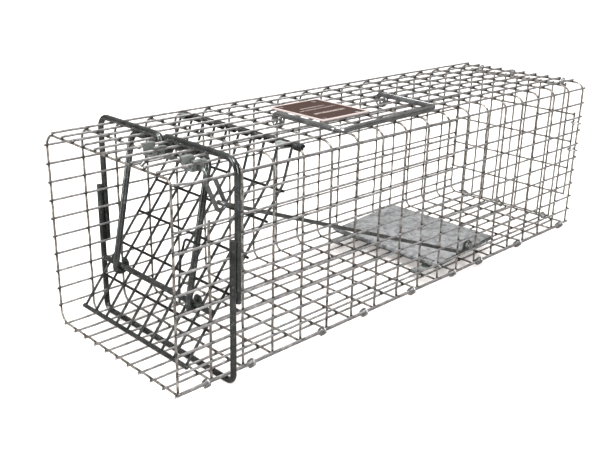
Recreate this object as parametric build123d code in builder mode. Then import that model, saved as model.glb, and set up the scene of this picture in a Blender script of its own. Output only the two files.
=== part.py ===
from build123d import *

import os
from math import acos, asin, cos, degrees, pi, radians, sin, tan

# A live catch trap: a welded wire mesh tunnel with a gravity door, a drop-down lock, a pan and a trip.
# Millimetres, +Z up, +X to the right of the tunnel, -Y at the open door end.
# The origin is on the ground, at the middle of the trap's outline.

os.makedirs("parts", exist_ok=True)

# ---------------------------------------------------------------- driving dimensions
CELL_LONG = 25.4  # mesh pitch along the tunnel
CELL_ROUND = 12.7  # mesh pitch round the tunnel
CELLS_LONG = 18
CELLS_ROUND = 41
WIRE = 1.8  # mesh wire diameter
FOLD = 8.0  # centre-line radius of the cross wires at the folded corners
LAP = 2.0  # how far each edge of the sheet stops short of the seam corner
STUB = 1.2  # how far a wire runs past the last wire it is welded to
TOUCH = 0.02  # gap left between wires that are welded together

HOOP = 4.0  # rod diameters
LOCK_ROD = 4.3
LOCK_BAR = 3.9
DOOR_WIRE = 1.8
DOOR_ROD = 3.0
TRIP_ROD = 2.7
HANDLE_ROD = 4.0
PAN_ROD = 2.4
RING_WIRE = 1.6
SPRING_WIRE = 1.6
SHEET = 0.8

RUNNING = 0.08  # radial clearance of a wire turning inside a loop
SNUG = 0.05  # gap where one piece is gripped by another
LOOSE = 0.1  # gap where one piece is only hooked on another

SIDE = (CELLS_ROUND * CELL_ROUND + 2 * LAP + 3 * (2 - pi / 2) * FOLD) / 4
TUNNEL = CELLS_LONG * CELL_LONG
HALF = SIDE / 2
WELD = WIRE + TOUCH  # distance between the centre lines of crossed wires
FLOOR = HOOP + TOUCH + WIRE / 2 + WELD  # height of the cross wires on the floor
ROOF = FLOOR + SIDE
ROOF_LONG = ROOF + WELD
ROOF_TOP = ROOF_LONG + WIRE / 2

REAR_RING_REACH = 3.0  # how far the rear hog rings stand behind the last cross wire
FRONT = -(TUNNEL + REAR_RING_REACH - STUB) / 2


def depth(distance):
    """The y of a point at this distance behind the front edge."""
    return FRONT + distance


# ---------------------------------------------------------------- helpers
def corner(before, at, after, radius):
    """The start, middle and end of the arc that rounds one corner."""
    into = (at - before).normalized()
    away = (after - at).normalized()
    turn = acos(max(-1.0, min(1.0, into.dot(away))))
    reach = radius * tan(turn / 2)
    inward = (away - into).normalized()
    middle = at + inward * (radius / cos(turn / 2) - radius)
    return at - into * reach, middle, at + away * reach


def bent_line(points, radius):
    """Straight runs with rounded corners, drawn in the active BuildLine. One radius, or one for each corner."""
    spots = [Vector(*p) for p in points]
    radii = radius if isinstance(radius, (list, tuple)) else [radius] * (len(spots) - 2)
    here = spots[0]
    for before, at, after, r in zip(spots, spots[1:], spots[2:], radii):
        start, middle, end = corner(before, at, after, r)
        if (start - here).length > 1e-6:
            Line(here, start)
        ThreePointArc(start, middle, end)
        here = end
    Line(here, spots[-1])


def on_circle(centre, radius, angle):
    """A point on a circle in the YZ plane, by its angle in degrees from +Y towards +Z."""
    x, y, z = centre
    return (x, y + radius * cos(radians(angle)), z + radius * sin(radians(angle)))


def loop(centre, radius, start, sweep_angle):
    """An arc in the YZ plane through a fixed x, drawn in the active BuildLine."""
    ThreePointArc(
        on_circle(centre, radius, start),
        on_circle(centre, radius, start + sweep_angle / 2),
        on_circle(centre, radius, start + sweep_angle),
    )


def start_of(path):
    """The plane across the start of a path, for the section of its wire."""
    return Plane(origin=path.line @ 0, z_dir=path.line % 0)


def finish(name, piece):
    piece.part.label = name
    export_step(piece.part, f"parts/{name}.step")


# ---------------------------------------------------------------- mesh tunnel
SEAM_X = HALF - LAP
SEAM_Z = FLOOR + LAP
EDGE_STUB = 0.7  # how far each cross wire runs past the seam point

with BuildLine() as sheet_edge:
    bent_line(
        [(SEAM_X, 0, FLOOR), (-HALF, 0, FLOOR), (-HALF, 0, ROOF), (HALF, 0, ROOF), (HALF, 0, SEAM_Z)],
        FOLD,
    )


def round_the_sheet(count):
    """The centre of long wire number `count`, counted from the floor side of the seam."""
    edge = sheet_edge.wires()[0]
    place = edge.position_at(count * CELL_ROUND, position_mode=PositionMode.LENGTH)
    along = edge.tangent_at(count * CELL_ROUND, position_mode=PositionMode.LENGTH)
    return place.X - along.Z * WELD, place.Z + along.X * WELD


LONG_WIRES = [round_the_sheet(k) for k in range(CELLS_ROUND + 1)]
CUT_LONG_WIRE = 32  # second wire down on the right, cut back to leave a hand hole
CUT_CELLS = 2

with BuildPart() as mesh_long_wires:
    for number, (x, z) in enumerate(LONG_WIRES):
        start = CUT_CELLS * CELL_LONG - STUB if number == CUT_LONG_WIRE else -STUB
        with BuildSketch(Plane.XZ.offset(-depth(start))):
            with Locations((x, z)):
                Circle(WIRE / 2)
        extrude(amount=-(TUNNEL + STUB - start))
finish("mesh_long_wires", mesh_long_wires)

RING_CORNERS = [
    (SEAM_X + EDGE_STUB, 0, FLOOR),
    (-HALF, 0, FLOOR),
    (-HALF, 0, ROOF),
    (HALF, 0, ROOF),
    (HALF, 0, SEAM_Z - EDGE_STUB),
]
CUT_RING = 1  # this cross wire is cut away over the hand hole
CUT_ROOF_X = 1.0
CUT_SIDE_Z = LONG_WIRES[33][1] + STUB

with BuildPart() as one_ring:
    with BuildLine() as ring_path:
        bent_line(RING_CORNERS, FOLD)
    with BuildSketch(start_of(ring_path)):
        Circle(WIRE / 2)
    sweep()

with BuildPart() as cut_ring:
    with BuildLine() as cut_path:
        bent_line(RING_CORNERS[:3] + [(CUT_ROOF_X, 0, ROOF)], FOLD)
    with BuildSketch(start_of(cut_path)):
        Circle(WIRE / 2)
    sweep()
    with BuildSketch(Plane.XY.offset(SEAM_Z - EDGE_STUB)):
        with Locations((HALF, 0)):
            Circle(WIRE / 2)
    extrude(amount=CUT_SIDE_Z - SEAM_Z + EDGE_STUB)

with BuildPart() as mesh_cross_wires:
    for number in range(CELLS_LONG + 1):
        with Locations((0, depth(number * CELL_LONG), 0)):
            add(cut_ring.part if number == CUT_RING else one_ring.part)
finish("mesh_cross_wires", mesh_cross_wires)

# ---------------------------------------------------------------- rear panel
PANEL_Y = TUNNEL - 3.2  # its uprights stand just inside the last cross wire
PANEL_GAP = 1.0  # between the panel's uprights and the cross wires above and below
PANEL_LOW = FLOOR + WIRE / 2 + PANEL_GAP
PANEL_HIGH = ROOF - WIRE / 2 - PANEL_GAP
FULL_UPRIGHTS = 9
RAIL_PITCHES = 5
RAIL_LOW = PANEL_LOW + STUB + WIRE / 2
RAIL_TOP = RAIL_LOW + RAIL_PITCHES * CELL_LONG
RAIL_Y = PANEL_Y - WELD

# The panel's corners are cut away, so the outer uprights and the end rails are short.
UPRIGHT_X = (FULL_UPRIGHTS + 1) * CELL_ROUND / 2
FULL_RAIL = UPRIGHT_X + STUB
SHORT_RAIL = FULL_RAIL - CELL_ROUND
SHORT_LOW = RAIL_LOW + CELL_LONG - STUB
SHORT_HIGH = RAIL_TOP - CELL_LONG + STUB

with BuildPart() as rear_panel_uprights:
    with BuildSketch(Plane.XY.offset(PANEL_LOW)):
        with Locations((0, depth(PANEL_Y))):
            with GridLocations(CELL_ROUND, 1, FULL_UPRIGHTS, 1):
                Circle(WIRE / 2)
    extrude(amount=PANEL_HIGH - PANEL_LOW)
    with BuildSketch(Plane.XY.offset(SHORT_LOW)):
        with Locations((0, depth(PANEL_Y))):
            with GridLocations(2 * UPRIGHT_X, 1, 2, 1):
                Circle(WIRE / 2)
    extrude(amount=SHORT_HIGH - SHORT_LOW)
finish("rear_panel_uprights", rear_panel_uprights)

with BuildPart() as rear_panel_rails:
    for number in range(RAIL_PITCHES + 1):
        half = SHORT_RAIL if number in (0, RAIL_PITCHES) else FULL_RAIL
        with BuildSketch(Plane.YZ.offset(-half)):
            with Locations((depth(RAIL_Y), RAIL_LOW + number * CELL_LONG)):
                Circle(WIRE / 2)
        extrude(amount=2 * half)
finish("rear_panel_rails", rear_panel_rails)

# ---------------------------------------------------------------- hog rings
RING_OPENING = 1.6  # gap left where a ring's ends meet


def hog_ring(first, second, along):
    """A crimped oval ring round two parallel mesh wires, given a point on each and their direction."""
    one, two = Vector(*first), Vector(*second)
    half = (two - one).length / 2
    radius = WIRE / 2 + RING_WIRE / 2 + LOOSE
    base = Plane(origin=(one + two) / 2, x_dir=two - one, z_dir=along)
    with BuildPart() as ring:
        with BuildLine(base) as path:
            Line((RING_OPENING / 2, radius), (half, radius))
            CenterArc((half, 0), radius, 90, -180)
            Line((half, -radius), (-half, -radius))
            CenterArc((-half, 0), radius, 270, -180)
            Line((-half, radius), (-RING_OPENING / 2, radius))
        with BuildSketch(start_of(path)):
            Circle(RING_WIRE / 2)
        sweep()
    return ring.part


SEAM_RINGS = [21.3, 57.7, 122.9, 166.3, 222.0, 275.0, 312.8, 373.5, 447.0]
seam_low, seam_high = LONG_WIRES[0], LONG_WIRES[-1]

with BuildPart() as seam_rings:
    for y in [depth(distance) for distance in SEAM_RINGS]:
        add(hog_ring((seam_low[0], y, seam_low[1]), (seam_high[0], y, seam_high[1]), (0, 1, 0)))
finish("seam_rings", seam_rings)

TOP_RINGS = [-41.8, -5.9, 46.6]
SIDE_RINGS = [103.9, 78.5]
BOTTOM_RINGS = [-46.0, -4.7, 45.2]

with BuildPart() as rear_rings:
    for x in TOP_RINGS:
        add(hog_ring((x, depth(RAIL_Y), RAIL_TOP), (x, depth(TUNNEL), ROOF), (1, 0, 0)))
    for x in BOTTOM_RINGS:
        add(hog_ring((x, depth(TUNNEL), FLOOR), (x, depth(RAIL_Y), RAIL_LOW), (1, 0, 0)))
    for z in SIDE_RINGS:
        add(hog_ring((UPRIGHT_X, depth(PANEL_Y), z), (HALF, depth(TUNNEL), z), (0, 0, 1)))
finish("rear_rings", rear_rings)

# ---------------------------------------------------------------- hoops round the front
LEG_X = HALF + WELD + WIRE / 2 + HOOP / 2 + TOUCH
HOOP_TOP = ROOF_TOP + HOOP / 2 + TOUCH
HOOP_Y = 43.0
LOWER_HOOP_Y = HOOP_Y - HOOP - TOUCH
HOOP_BEND = 8.5
UPPER_LEG_END = 55.5
LOWER_LEG_END = 97.0
LOWER_BEND = 6.0

# The lock frame hangs in a bend at the end of the left rod.
PIVOT_Y = 47.4
PIVOT_DROP = 0.25  # gap between the lock frame's top rod and the long roof wires
PIVOT_Z = ROOF_LONG - WIRE / 2 - LOCK_ROD / 2 - PIVOT_DROP
CRADLE_X = -1.7
CRADLE_BEND = 4.6
CRADLE_TURN = 170
CRADLE_R = PIVOT_Y - HOOP_Y
BLUNT_X = CRADLE_X + 5.8  # the right rod's end, just past the bend

with BuildPart() as upper_hoop_left:
    with BuildLine() as path:
        bent_line(
            [
                (-LEG_X, depth(HOOP_Y), UPPER_LEG_END),
                (-LEG_X, depth(HOOP_Y), HOOP_TOP),
                (CRADLE_X, depth(HOOP_Y), HOOP_TOP),
                (CRADLE_X, depth(HOOP_Y), PIVOT_Z),
            ],
            [HOOP_BEND, CRADLE_BEND],
        )
        loop((CRADLE_X, depth(PIVOT_Y), PIVOT_Z), CRADLE_R, 180, CRADLE_TURN)
    with BuildSketch(start_of(path)):
        Circle(HOOP / 2)
    sweep()
finish("upper_hoop_left", upper_hoop_left)

with BuildPart() as upper_hoop_right:
    with BuildLine() as path:
        bent_line(
            [
                (BLUNT_X, depth(HOOP_Y), HOOP_TOP),
                (LEG_X, depth(HOOP_Y), HOOP_TOP),
                (LEG_X, depth(HOOP_Y), UPPER_LEG_END),
            ],
            HOOP_BEND,
        )
    with BuildSketch(start_of(path)):
        Circle(HOOP / 2)
    sweep()
finish("upper_hoop_right", upper_hoop_right)

with BuildPart() as lower_hoop:
    with BuildLine() as path:
        bent_line(
            [
                (-LEG_X, depth(LOWER_HOOP_Y), LOWER_LEG_END),
                (-LEG_X, depth(LOWER_HOOP_Y), HOOP / 2),
                (LEG_X, depth(LOWER_HOOP_Y), HOOP / 2),
                (LEG_X, depth(LOWER_HOOP_Y), LOWER_LEG_END),
            ],
            LOWER_BEND,
        )
    with BuildSketch(start_of(path)):
        Circle(HOOP / 2)
    sweep()
finish("lower_hoop", lower_hoop)

# ---------------------------------------------------------------- door
HINGE_Y = 4 * CELL_LONG  # the door turns on the fifth cross wire
DOOR_SHIFT = 0.4  # keeps the door's wires clear of the long wires beside them
DOOR_PITCHES = 9
DOOR_TOP_ANGLE = 22.0  # from vertical, down to the first cross wire
DOOR_ANGLE = 38.5  # from vertical, below it
DOOR_CELLS = 5
CURL_R = WIRE / 2 + RUNNING + DOOR_WIRE / 2
DOOR_CURL = 290
DOOR_BEND = 12.0
DOOR_HALF = 58.6
TOP_BAR_DROP = 3.5  # from the door's bend down to its highest cross wire
TOP_BAR_GAP = 0.2  # that wire stands a little off the bent wires

bend_y = HINGE_Y - CELL_LONG * sin(radians(DOOR_TOP_ANGLE))
bend_z = ROOF - CELL_LONG * cos(radians(DOOR_TOP_ANGLE))
door_run = DOOR_CELLS * CELL_LONG
foot_y = bend_y - door_run * sin(radians(DOOR_ANGLE))
foot_z = bend_z - door_run * cos(radians(DOOR_ANGLE))


def on_door(distance, stand_off):
    """A point on the door, measured up from its bottom rod, and out from its front face side."""
    y = foot_y + distance * sin(radians(DOOR_ANGLE)) - stand_off * cos(radians(DOOR_ANGLE))
    z = foot_z + distance * cos(radians(DOOR_ANGLE)) + stand_off * sin(radians(DOOR_ANGLE))
    return depth(y), z


# The wire leaves its curl at the rear and below, so that the straight part points at the bend.
tangent_angle = 180 - DOOR_TOP_ANGLE
top_y = HINGE_Y + CURL_R * cos(radians(tangent_angle))
top_z = ROOF + CURL_R * sin(radians(tangent_angle))
rod_stop = DOOR_ROD / 2 + TOUCH

with BuildPart() as one_slope_wire:
    with BuildLine() as path:
        stop_y, stop_z = on_door(rod_stop, 0)
        bent_line([(0, stop_y, stop_z), (0, depth(bend_y), bend_z), (0, depth(top_y), top_z)], DOOR_BEND)
        loop((0, depth(HINGE_Y), ROOF), CURL_R, tangent_angle, -DOOR_CURL)
    with BuildSketch(start_of(path)):
        Circle(DOOR_WIRE / 2)
    sweep()

with BuildPart() as door_slope_wires:
    with Locations((DOOR_SHIFT, 0, 0)):
        with GridLocations(CELL_ROUND, 1, DOOR_PITCHES + 1, 1):
            add(one_slope_wire.part)
finish("door_slope_wires", door_slope_wires)


def door_bar(distance, stand_off, diameter, half_length):
    """A straight bar across the door."""
    with BuildPart() as bar:
        with BuildSketch(Plane.YZ.offset(DOOR_SHIFT - half_length)):
            with Locations(on_door(distance, stand_off)):
                Circle(diameter / 2)
        extrude(amount=2 * half_length)
    return bar.part


with BuildPart() as door_cross_wires:
    for number in range(1, DOOR_CELLS):
        add(door_bar(number * CELL_LONG, -DOOR_WIRE - TOUCH, DOOR_WIRE, DOOR_HALF))
    add(door_bar(door_run - TOP_BAR_DROP, -DOOR_WIRE - TOP_BAR_GAP, DOOR_WIRE, DOOR_HALF))
finish("door_cross_wires", door_cross_wires)

with BuildPart() as door_bottom_rod:
    add(door_bar(0, 0, DOOR_ROD, DOOR_HALF))
finish("door_bottom_rod", door_bottom_rod)

CLIP_WIDTH = 7.6
CLIP_REACH = 4.8  # how far each clip's loop is longer than the wire it holds
CLIP_INSIDE = 2 * (WIRE / 2 + LOOSE)
CLIP_OUTSIDE = CLIP_INSIDE + 2 * SHEET
DOOR_CLIPS = [-51.3, 50.25]

with BuildPart() as door_hinge_clips:
    for x in DOOR_CLIPS:
        with BuildSketch(Plane.YZ.offset(x - CLIP_WIDTH / 2)):
            with Locations((depth(HINGE_Y - CLIP_REACH / 2), ROOF)):
                SlotOverall(CLIP_OUTSIDE + CLIP_REACH, CLIP_OUTSIDE)
                SlotOverall(CLIP_INSIDE + CLIP_REACH, CLIP_INSIDE, mode=Mode.SUBTRACT)
        extrude(amount=CLIP_WIDTH)
finish("door_hinge_clips", door_hinge_clips)

# ---------------------------------------------------------------- lock
LOCK_X = 40.5
EYE_R = LOCK_BAR / 2 + TOUCH + LOCK_ROD / 2
LOCK_BAR_UP = 36.0  # where the lock bar rests on the door, measured up from its bottom rod
LOCK_BAR_HALF = 59.5
LOCK_BEND = 6.0
EYE_TURN = 250
bar_y, bar_z = on_door(LOCK_BAR_UP, (DOOR_WIRE + LOCK_BAR) / 2 + LOOSE)

reach_y = bar_y - depth(PIVOT_Y)
reach_z = bar_z - PIVOT_Z
reach = (reach_y**2 + reach_z**2) ** 0.5
# The arm touches the circle of its eye on the front side, so it leans a little more than the eye's direction.
lean = degrees(asin(-reach_y / reach) + asin(EYE_R / reach))
eye_start = 180 - lean

with BuildPart() as lock_frame:
    with BuildLine() as path:
        left_eye = (-LOCK_X, bar_y, bar_z)
        right_eye = (LOCK_X, bar_y, bar_z)
        loop(left_eye, EYE_R, eye_start + EYE_TURN, -EYE_TURN)
        bent_line(
            [
                on_circle(left_eye, EYE_R, eye_start),
                (-LOCK_X, depth(PIVOT_Y), PIVOT_Z),
                (LOCK_X, depth(PIVOT_Y), PIVOT_Z),
                on_circle(right_eye, EYE_R, eye_start),
            ],
            LOCK_BEND,
        )
        loop(right_eye, EYE_R, eye_start, EYE_TURN)
    with BuildSketch(start_of(path)):
        Circle(LOCK_ROD / 2)
    sweep()
finish("lock_frame", lock_frame)

with BuildPart() as lock_bar:
    with BuildSketch(Plane.YZ.offset(-LOCK_BAR_HALF)):
        with Locations((bar_y, bar_z)):
            Circle(LOCK_BAR / 2)
    extrude(amount=2 * LOCK_BAR_HALF)
finish("lock_bar", lock_bar)


def on_arm(distance, front):
    """A point beside the lock's arm, measured up from its eye, and out from its front side."""
    return (
        bar_y - (EYE_R + front) * cos(radians(lean)) + distance * sin(radians(lean)),
        bar_z + (EYE_R + front) * sin(radians(lean)) + distance * cos(radians(lean)),
    )


# A thin wire spring crosses the front of the right arm and runs down beside it to the lock bar.
SPRING_GAP = LOCK_ROD / 2 + SPRING_WIRE / 2 + SNUG
SPRING_X = LOCK_X - SPRING_GAP
SPRING_HIGH = 40.0
SPRING_BEND = 2.5
with BuildPart() as lock_spring:
    with BuildLine() as path:
        bent_line(
            [
                (LOCK_X + 5.5, *on_arm(SPRING_HIGH, SPRING_GAP)),
                (SPRING_X - 5.0, *on_arm(SPRING_HIGH, SPRING_GAP)),
                (SPRING_X - 7.0, *on_arm(SPRING_HIGH - 12, SPRING_GAP)),
                (SPRING_X - 5.0, *on_arm(12, SPRING_GAP)),
                (SPRING_X - 2.6, *on_arm(-1.0, SPRING_GAP - 0.6)),
            ],
            SPRING_BEND,
        )
    with BuildSketch(start_of(path)):
        Circle(SPRING_WIRE / 2)
    sweep()
finish("lock_spring", lock_spring)

# ---------------------------------------------------------------- trip
TRIP_Y = 28.5
TRIP_DROP = 0.5  # gap between the trip rod and the long roof wires
TRIP_Z = ROOF_LONG - WIRE / 2 - TRIP_ROD / 2 - TRIP_DROP
TRIP_LEFT = 1.4
SLOT_X = 61.1  # the trip's slotted arm hangs between the door's edge and the side
SLOT_ANGLE = 24.4  # from vertical, leaning back
SLOT_PLAY = 1.2  # how much wider the slot is than the trigger rod's tip
SLOT_HALF = (TRIP_ROD + SLOT_PLAY) / 2 + TRIP_ROD / 2
SLOT_END_R = SLOT_HALF - SNUG
SLOT_LENGTH = 28.5
TRIP_BEND = 3.2
SLOT_KINK_R = 1.0
HOOK_X = 2.9


def on_slot(distance, aside):
    """A point on the slotted arm, measured down from the trip's axis, and out from the slot's middle."""
    return (
        depth(TRIP_Y) + distance * sin(radians(SLOT_ANGLE)) + aside * cos(radians(SLOT_ANGLE)),
        TRIP_Z - distance * cos(radians(SLOT_ANGLE)) + aside * sin(radians(SLOT_ANGLE)),
    )


with BuildPart() as trip_rod:
    with BuildLine() as path:
        bent_line(
            [
                (TRIP_LEFT, depth(TRIP_Y), TRIP_Z),
                (SLOT_X, depth(TRIP_Y), TRIP_Z),
                (SLOT_X, *on_slot(SLOT_HALF + 4, -SLOT_HALF)),
                (SLOT_X, *on_slot(SLOT_LENGTH, -SLOT_HALF)),
                (SLOT_X, *on_slot(SLOT_LENGTH, SLOT_HALF)),
                (SLOT_X, *on_slot(SLOT_HALF + 6, SLOT_HALF)),
            ],
            [TRIP_BEND, SLOT_KINK_R, SLOT_END_R, SLOT_END_R],
        )
    with BuildSketch(start_of(path)):
        Circle(TRIP_ROD / 2)
    sweep()
finish("trip_rod", trip_rod)

TRIP_HOOK = 2.4
HOOK_BEND = 2.0
hook_top = TRIP_Z - TRIP_ROD / 2 - TOUCH

with BuildPart() as trip_hook:
    with BuildLine() as path:
        bent_line(
            [
                (HOOK_X, depth(TRIP_Y), hook_top),
                (HOOK_X, depth(TRIP_Y), hook_top - 5.2),
                (HOOK_X, depth(TRIP_Y - 4.4), hook_top - 8.4),
            ],
            HOOK_BEND,
        )
    with BuildSketch(start_of(path)):
        Circle(TRIP_HOOK / 2)
    sweep()
finish("trip_hook", trip_hook)

# Two sheet straps hang the trip rod from pairs of long roof wires.
STRAP_WIDTH = 8.6
STRAP_GAP = 0.25
STRAP_LIP = 2.6
strap_low = TRIP_Z - TRIP_ROD / 2 - RUNNING - SHEET
strap_high = ROOF_TOP + STRAP_GAP


def trip_strap(left_wire, right_wire):
    """A strap under the trip rod, hooked over two long wires."""
    inner_left = left_wire + WIRE / 2 + STRAP_GAP
    inner_right = right_wire - WIRE / 2 - STRAP_GAP
    tall = strap_high - strap_low + SHEET
    with BuildPart() as strap:
        with BuildSketch(Plane.XZ.offset(-depth(TRIP_Y) - STRAP_WIDTH / 2)):
            with Locations(((inner_left + inner_right) / 2, strap_low + SHEET / 2)):
                Rectangle(inner_right - inner_left, SHEET)
            for x, way in ((inner_left, 1), (inner_right, -1)):
                with Locations((x + way * SHEET / 2, strap_low + tall / 2)):
                    Rectangle(SHEET, tall)
                with Locations((x + way * (SHEET - STRAP_LIP) / 2, strap_high + SHEET / 2)):
                    Rectangle(STRAP_LIP + SHEET, SHEET)
        extrude(amount=STRAP_WIDTH)
        with BuildSketch(Plane.YZ.offset(inner_left)):
            with Locations((depth(TRIP_Y), TRIP_Z)):
                Circle(TRIP_ROD / 2 + RUNNING)
        extrude(amount=inner_right - inner_left, mode=Mode.SUBTRACT)
    return strap.part


STRAP_WIRES = [(26, 27), (29, 30)]  # long wires that carry each strap
with BuildPart() as trip_rod_clips:
    for first, second in STRAP_WIRES:
        add(trip_strap(LONG_WIRES[first][0], LONG_WIRES[second][0]))
finish("trip_rod_clips", trip_rod_clips)

# ---------------------------------------------------------------- pan and trigger
PAN_Y = 269.0
PAN_Z = 10.8
PAN_WIDTH = 112.0
PAN_LENGTH = 78.0
PAN_TILT = 3.5
PAN_SHEET = 0.9
PAN_LIP = 3.0
PAN_CURL = PAN_ROD / 2 + RUNNING + PAN_SHEET / 2
PAN_CLIPS = [-43.1, 45.8]
PAN_CLIP_WIDTH = 9.0
EAR_Y = 309.0
EAR_HEIGHT = 8.0
EAR_FOOT, EAR_TOP = 6.0, 4.5  # half widths
EAR_EYE_UP = 4.0
RIM_START = 5.0  # the side rims begin this far behind the hinge
NOTCH = (PAN_CLIP_WIDTH + 1.2, 7.0, 8.0)
RIVET = 3.4
RIVET_GAP = 0.02


def on_pan(distance, above):
    """A point on the pan's middle surface, measured back from its hinge, and up from it."""
    return (
        depth(PAN_Y) + distance * cos(radians(PAN_TILT)) - (PAN_CURL + above) * sin(radians(PAN_TILT)),
        PAN_Z + distance * sin(radians(PAN_TILT)) + (PAN_CURL + above) * cos(radians(PAN_TILT)),
    )


trigger_y, trigger_z = on_pan(EAR_Y - PAN_Y, EAR_EYE_UP)

with BuildPart() as pan:
    with BuildSketch(Plane.YZ.offset(-PAN_WIDTH / 2)):
        with BuildLine():
            CenterArc((depth(PAN_Y), PAN_Z), PAN_CURL, 90 + PAN_TILT, 250)
        trace(line_width=PAN_SHEET)
        with BuildLine():
            Polyline(on_pan(0, 0), on_pan(PAN_LENGTH, 0), on_pan(PAN_LENGTH, -PAN_LIP))
        trace(line_width=PAN_SHEET)
    extrude(amount=PAN_WIDTH)
    for way in (-1, 1):
        edge = way * (PAN_WIDTH / 2 - PAN_SHEET / 2)
        with BuildSketch(Plane.YZ.offset(edge - PAN_SHEET / 2)):
            with BuildLine():
                Polyline(
                    on_pan(RIM_START, 0),
                    on_pan(PAN_LENGTH, 0),
                    on_pan(PAN_LENGTH, -PAN_LIP),
                    on_pan(RIM_START, -PAN_LIP),
                    close=True,
                )
            make_face()
        extrude(amount=PAN_SHEET)
    # an ear stands up at the right edge to carry the trigger rod
    with BuildSketch(Plane.YZ.offset(PAN_WIDTH / 2 - PAN_SHEET)):
        with BuildLine():
            ear = EAR_Y - PAN_Y
            Polyline(
                on_pan(ear - EAR_FOOT, 0),
                on_pan(ear - EAR_TOP, EAR_HEIGHT),
                on_pan(ear + EAR_TOP, EAR_HEIGHT),
                on_pan(ear + EAR_FOOT, 0),
                close=True,
            )
        make_face()
        with Locations((trigger_y, trigger_z)):
            Circle(RIVET / 2 + RIVET_GAP, mode=Mode.SUBTRACT)
    extrude(amount=PAN_SHEET)
    # notches let the hinge clips reach the rod
    for x in PAN_CLIPS:
        with BuildSketch(Plane.XY.offset(PAN_Z - NOTCH[2] / 2)):
            with Locations((x, depth(PAN_Y))):
                Rectangle(NOTCH[0], NOTCH[1])
        extrude(amount=NOTCH[2], mode=Mode.SUBTRACT)
finish("pan", pan)

PAN_ROD_HALF = PAN_WIDTH / 2 + 4

with BuildPart() as pan_hinge_rod:
    with BuildSketch(Plane.YZ.offset(-PAN_ROD_HALF)):
        with Locations((depth(PAN_Y), PAN_Z)):
            Circle(PAN_ROD / 2)
    extrude(amount=2 * PAN_ROD_HALF)
finish("pan_hinge_rod", pan_hinge_rod)

# Each clip is one strip: hooked round a floor cross wire, then curled round the pan's hinge rod.
CLIP_SHEET = 0.7
floor_hook = WIRE / 2 + SNUG + CLIP_SHEET / 2
rod_hook = PAN_ROD / 2 + SNUG + CLIP_SHEET / 2
CLIP_RISE = 35.0
FLOOR_WIRE_Y = 10 * CELL_LONG

with BuildPart() as pan_hinge_clips:
    for x in PAN_CLIPS:
        with BuildSketch(Plane.YZ.offset(x - PAN_CLIP_WIDTH / 2)):
            with BuildLine():
                CenterArc((depth(FLOOR_WIRE_Y), FLOOR), floor_hook, 90, 200)
            trace(line_width=CLIP_SHEET)
            with BuildLine():
                last = on_circle((x, depth(PAN_Y), PAN_Z), rod_hook, CLIP_RISE - 90)
                run = (last[2] - FLOOR - floor_hook) / tan(radians(CLIP_RISE))
                Polyline(
                    (depth(FLOOR_WIRE_Y), FLOOR + floor_hook),
                    (last[1] - run, FLOOR + floor_hook),
                    (last[1], last[2]),
                )
            trace(line_width=CLIP_SHEET)
            with BuildLine():
                CenterArc((depth(PAN_Y), PAN_Z), rod_hook, CLIP_RISE - 90, 290)
            trace(line_width=CLIP_SHEET)
        extrude(amount=PAN_CLIP_WIDTH)
finish("pan_hinge_clips", pan_hinge_clips)

TRIGGER_X = 63.95
TRIGGER_TIP_X = SLOT_X - TRIP_ROD / 2
TRIGGER_EYE_R = RIVET / 2 + SNUG + TRIP_ROD / 2
TRIGGER_EYE_GAP = 0.6  # between the pan's ear and the trigger rod's eye
TRIGGER_EYE_X = PAN_WIDTH / 2 + TRIP_ROD / 2 + TRIGGER_EYE_GAP
TRIGGER_EYE_TURN = 290
TRIGGER_TIP_BEND = 1.4
TRIGGER_BEND = 8.0
TRIGGER_PIN = 23.5  # how far down the slot the tip stands
trigger_front = on_slot(TRIGGER_PIN, 0)
trigger_low = trigger_z - TRIGGER_EYE_R

with BuildPart() as trigger_rod:
    with BuildLine() as path:
        bent_line(
            [
                (TRIGGER_TIP_X, *trigger_front),
                (TRIGGER_X, *trigger_front),
                (TRIGGER_X, depth(286.0), 21.5),
                (TRIGGER_EYE_X, depth(299.0), trigger_low),
                (TRIGGER_EYE_X, trigger_y, trigger_low),
            ],
            [TRIGGER_TIP_BEND, TRIGGER_BEND, TRIGGER_BEND],
        )
        loop((TRIGGER_EYE_X, trigger_y, trigger_z), TRIGGER_EYE_R, 270, TRIGGER_EYE_TURN)
    with BuildSketch(start_of(path)):
        Circle(TRIP_ROD / 2)
    sweep()
finish("trigger_rod", trigger_rod)

RIVET_HEAD = 5.4
HEAD_THICK = 0.8
inner_head = PAN_WIDTH / 2 - PAN_SHEET - SNUG - HEAD_THICK
outer_head = TRIGGER_EYE_X + TRIP_ROD / 2 + LOOSE

with BuildPart() as trigger_rivet:
    with BuildSketch(Plane.YZ.offset(inner_head)):
        with Locations((trigger_y, trigger_z)):
            Circle(RIVET / 2)
    extrude(amount=outer_head - inner_head)
    for start in (inner_head, outer_head):
        with BuildSketch(Plane.YZ.offset(start)):
            with Locations((trigger_y, trigger_z)):
                Circle(RIVET_HEAD / 2)
        extrude(amount=HEAD_THICK)
finish("trigger_rivet", trigger_rivet)

# ---------------------------------------------------------------- carrying handle
HANDLE_WIRE = 26  # the long roof wire that it turns on
HANDLE_EYE_R = 4.0
HANDLE_EYES = [137.0, 248.0]
GRIP = [(62.7, 138.3), (57.4, 247.7)]
GRIP_Z = ROOF_TOP + HANDLE_ROD / 2 + 0.15  # the folded handle rests just over the roof wires
handle_x = LONG_WIRES[HANDLE_WIRE][0]
handle_z = ROOF_LONG + HANDLE_EYE_R
HANDLE_EYE_TURN = 300
HANDLE_LEAD = 6.0  # straight run beside each eye
HANDLE_BEND, GRIP_BEND = 8.0, 6.5


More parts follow.
